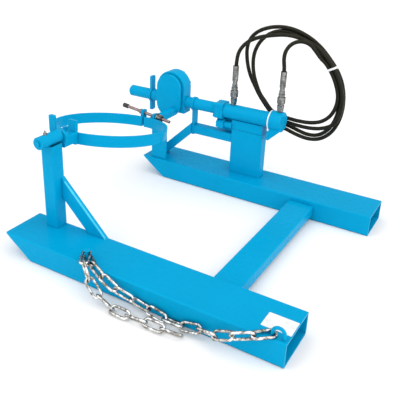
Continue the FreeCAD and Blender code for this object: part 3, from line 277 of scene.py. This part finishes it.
MATS = {
    "paint_blue": paint_blue(),
    "zinc_chain": zinc_chain(),
    "fitting_steel": turned_steel("fitting_steel", (0.16, 0.165, 0.155), (0.40, 0.40, 0.385), (0.14, 0.26), (1.6, 1.6, 0.7)),
    "hose_rubber": hose_rubber(),
    "tie_nylon": plastic("tie_nylon", (0.70, 0.70, 0.67), (0.84, 0.84, 0.82), (0.35, 0.55)),
    "grip_plastic": plastic("grip_plastic", (0.012, 0.012, 0.012), (0.035, 0.035, 0.036), (0.35, 0.6)),
    "screw_steel": turned_steel("screw_steel", (0.20, 0.13, 0.12), (0.46, 0.36, 0.34), (0.28, 0.50), (9.0, 1.0, 1.0)),
    "bush_bronze": turned_steel("bush_bronze", (0.42, 0.28, 0.10), (0.66, 0.48, 0.24), (0.25, 0.45), (1.0, 8.0, 1.0)),
    "seal_rubber": plastic("seal_rubber", (0.010, 0.010, 0.010), (0.030, 0.030, 0.030), (0.5, 0.7)),
    "machined_steel": turned_steel("machined_steel", (0.36, 0.36, 0.36), (0.62, 0.62, 0.61), (0.22, 0.42), (8.0, 1.0, 1.0)),
    "plate_white": plate_white(),
}
for sub in frame["record"]["subparts"]:
    o = nodes[sub["node"]]
    mat = MATS[sub["material_slot"]]
    if not o.data.materials:
        o.data.materials.append(mat)
    for i in range(len(o.material_slots)):
        o.material_slots[i].material = mat

# ------------------------------------------------------------------ hoses
HOSE_R = 0.0075
CC = (600.0, 480.0)


def polar(deg, rad, y):
    a = math.radians(deg)
    return (CC[0] + rad * math.cos(a), y, CC[1] + rad * math.sin(a))


# Front and back layer of the coil.  The first points of each line repeat the
# route of its lead from the part.
F_Y, B_Y = 937.5, 953.0
A_PTS = [(382, 884, 500), (382, 884, 553), (393, 887, 590), (420, 895, 622), (462, 908, 642), (512, 921, 653), (560, 932, 659)]
A_PTS += [polar(*p) for p in [
    (90, 175, 936), (78, 170, F_Y), (65, 169, F_Y), (52, 167.5, F_Y), (38, 169, F_Y), (24, 174.5, F_Y), (10, 184, F_Y), (-4, 198, F_Y), (-15, 208.5, F_Y),
    (-25, 219, F_Y), (-34, 225, F_Y), (-42, 219, F_Y), (-51, 206, F_Y), (-60, 192, F_Y), (-70, 178, F_Y), (-80, 168, F_Y), (-91, 163, 939),
    (-105, 163, 944), (-120, 164, 950), (-138, 158, B_Y), (-153, 162, B_Y), (-165, 168, B_Y), (-176, 183, B_Y), (-187, 199, B_Y), (-196, 214, B_Y),
    (-204, 229, B_Y), (-211, 239, B_Y), (-218, 243, B_Y), (-226, 240, B_Y), (-235, 231, B_Y), (-244, 221, B_Y), (-254, 210, B_Y), (-265, 198, B_Y),
    (-277, 186, B_Y), (-290, 177, B_Y), (-304, 170.5, B_Y), (-317, 168, B_Y), (-330, 172, B_Y), (-341, 179, B_Y), (-352, 188, B_Y), (-364, 198, B_Y),
    (-375, 209, B_Y), (-386, 222, B_Y), (-397, 235, B_Y), (-408, 245, B_Y), (-419, 245, 951), (-429, 231, 946), (-439, 210, 940), (-447, 196, 936.5)]]
A_PTS += [(590, 935.5, 291), (572, 935.5, 291)]
B_PTS = [(582, 884, 510), (582, 884, 543), (575, 884, 580), (577, 892, 611), (595, 902, 637), (625, 913, 648), (658, 920, 640), (683, 926, 613), (700, 935, 589)]
B_PTS += [polar(*p) for p in [
    (38, 153, F_Y), (24, 158.5, F_Y), (10, 168, F_Y), (-4, 181, F_Y), (-14, 188, F_Y), (-24, 192, F_Y), (-34, 192.5, F_Y),
    (-45, 186, F_Y), (-55, 174, F_Y), (-66, 161, F_Y), (-79, 150, F_Y), (-91, 145, F_Y), (-105, 147, F_Y), (-121, 149, F_Y), (-139, 142, F_Y),
    (-153, 148, F_Y), (-165, 151, F_Y), (-177, 160, F_Y), (-190, 172, F_Y), (-203, 187, F_Y), (-214, 197, F_Y), (-223, 203, 939), (-231, 206, 944),
    (-239, 206, 949), (-248, 201, B_Y), (-258, 190, B_Y), (-268, 179.5, B_Y), (-279, 168, B_Y), (-292, 160, B_Y), (-305, 154, B_Y), (-318, 152, B_Y),
    (-330, 156.5, B_Y), (-341, 163.5, B_Y), (-352, 172.5, B_Y), (-364, 182.5, B_Y), (-375, 193.5, B_Y), (-386, 206.5, B_Y), (-397, 219, B_Y), (-408, 229, B_Y),
    (-419, 229, B_Y), (-429, 215, B_Y), (-439, 195, B_Y), (-447, 184, 954)]]
B_PTS += [(591, 954.5, 300), (572, 954.5, 300)]


def hose(name, pts, nodes_replaced):
    cu = bpy.data.curves.new(name, "CURVE")
    cu.dimensions = "3D"
    cu.bevel_depth = HOSE_R
    cu.bevel_resolution = 5
    cu.resolution_u = 8
    cu.use_fill_caps = True
    sp = cu.splines.new("NURBS")
    sp.points.add(len(pts) - 1)
    for p, q in zip(sp.points, pts):
        p.co = (*W(*q), 1.0)
    sp.order_u = 3
    sp.use_endpoint_u = True
    sp.resolution_u = 8
    ob = bpy.data.objects.new(name, cu)
    scene.collection.objects.link(ob)
    cu.materials.append(MATS["hose_rubber"])
    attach(ob, "frame")
    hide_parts(*nodes_replaced)
    return ob


hose_a = hose("hose_front_line", A_PTS, ["hose_front", "hose_coil"])
hose_b = hose("hose_rear_line", B_PTS, ["hose_rear"])



# Cable tie: a flat strap round the four strands with its small square head.
def tie_piece():
    ang, rad, yc = math.radians(28.0), 164.8, 945.2
    er, et = Vector((math.cos(ang), 0, math.sin(ang))), Vector((-math.sin(ang), 0, math.cos(ang)))
    ey = Vector((0, 1, 0))
    mid = Vector((CC[0], yc, CC[1])) + er * rad
    corner = 7.9
    half_r, half_y = 16.2, 15.9
    ring = []
    for cx, cy, start in ((half_r - corner, half_y - corner, 0), (corner - half_r, half_y - corner, 90), (corner - half_r, corner - half_y, 180), (half_r - corner, corner - half_y, 270)):
        for k in range(7):
            a = math.radians(start + 15 * k)
            ring.append((cx, cy, math.cos(a), math.sin(a)))
    bm = bmesh.new()
    loops = []
    for off, side in ((0.0, -4.0), (1.7, -3.6), (1.7, 3.6), (0.0, 4.0)):
        loops.append([bm.verts.new(W(*(mid + er * (cx + (corner + off) * ca) + ey * (cy + (corner + off) * sa) + et * side))) for cx, cy, ca, sa in ring])
    n = len(ring)
    for i in range(4):
        a, b = loops[i], loops[(i + 1) % 4]
        for j in range(n):
            bm.faces.new((a[j], a[(j + 1) % n], b[(j + 1) % n], b[j]))
    # head on the outer front corner
    c = mid + er * (half_r + 1.2) - ey * 6.0
    corners = [[bm.verts.new(W(*(c + er * x + ey * y + et * z))) for y in (-4.5, 4.5) for z in (-5.0, 5.0)] for x in (0.6, 5.0)]
    lo, hi = corners
    for f in ((lo[0], lo[1], lo[3], lo[2]), (hi[0], hi[2], hi[3], hi[1]), (lo[0], lo[2], hi[2], hi[0]), (lo[1], hi[1], hi[3], lo[3]), (lo[0], hi[0], hi[1], lo[1]), (lo[2], lo[3], hi[3], hi[2])):
        bm.faces.new(f)
    bmesh.ops.recalc_face_normals(bm, faces=bm.faces)
    me = bpy.data.meshes.new("hose_tie_strap")
    bm.to_mesh(me)
    bm.free()
    me.materials.append(MATS["tie_nylon"])
    ob = bpy.data.objects.new("hose_tie_strap", me)
    scene.collection.objects.link(ob)
    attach(ob, "frame")
    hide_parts("hose_tie")
    return ob


tie_piece()

# ------------------------------------------------------------------ stage and light
bm = bmesh.new()
bmesh.ops.create_grid(bm, x_segments=1, y_segments=1, size=30.0)
me = bpy.data.meshes.new("floor")
bm.to_mesh(me)
bm.free()
floor = bpy.data.objects.new("floor", me)
floor.location = (0, 0, -0.0006)
scene.collection.objects.link(floor)
fm = Mat("floor_pale", Roughness=0.9, Specular_IOR_Level=0.1)
fm.color(fm.ramp(fm.noise(0.6, 2.0, 0.5), [(0.3, (0.90, 0.90, 0.90)), (0.7, (0.92, 0.92, 0.92))]))
me.materials.append(fm.m)

# A white studio, darker on the heel side, with a dark wall far behind the part.
world = bpy.data.worlds.new("studio")
world.use_nodes = True
wt = world.node_tree
bg = wt.nodes["Background"]
wpos = wt.nodes.new("ShaderNodeTexCoord")


def toward(direction, lo, hi, a, b):
    dot = wt.nodes.new("ShaderNodeVectorMath")
    dot.operation = "DOT_PRODUCT"
    dot.inputs[1].default_value = direction
    wt.links.new(wpos.outputs["Generated"], dot.inputs[0])
    mr = wt.nodes.new("ShaderNodeMapRange")
    mr.interpolation_type = "SMOOTHSTEP"
    for k, v in (("From Min", lo), ("From Max", hi), ("To Min", a), ("To Max", b)):
        mr.inputs[k].default_value = v
    wt.links.new(dot.outputs["Value"], mr.inputs["Value"])
    return mr.outputs["Result"]


heel = toward((0.98, -0.15, 0.0), 0.10, 0.95, 1.26, 1.75)
wall = toward((-0.47, 0.82, 0.33), 0.35, 0.80, 1.0, 0.42)
wmul = wt.nodes.new("ShaderNodeMath")
wmul.operation = "MULTIPLY"
wt.links.new(heel, wmul.inputs[0])
wt.links.new(wall, wmul.inputs[1])
bg.inputs["Color"].default_value = (1.0, 1.0, 1.0, 1.0)
wt.links.new(wmul.outputs["Value"], bg.inputs["Strength"])
scene.world = world


def area(name, loc, target, size, power):
    d = bpy.data.lights.new(name, "AREA")
    d.shape = "SQUARE"
    d.size = size
    d.energy = power
    o = bpy.data.objects.new(name, d)
    scene.collection.objects.link(o)
    o.location = loc
    o.rotation_euler = (Vector(target) - Vector(loc)).to_track_quat("-Z", "Y").to_euler()


area("key", (-1.6, -2.4, 3.0), (0, 0, 0.2), 2.4, 14.0)
area("top", (0.2, 0.6, 3.4), (0, 0, 0), 3.0, 18.0)
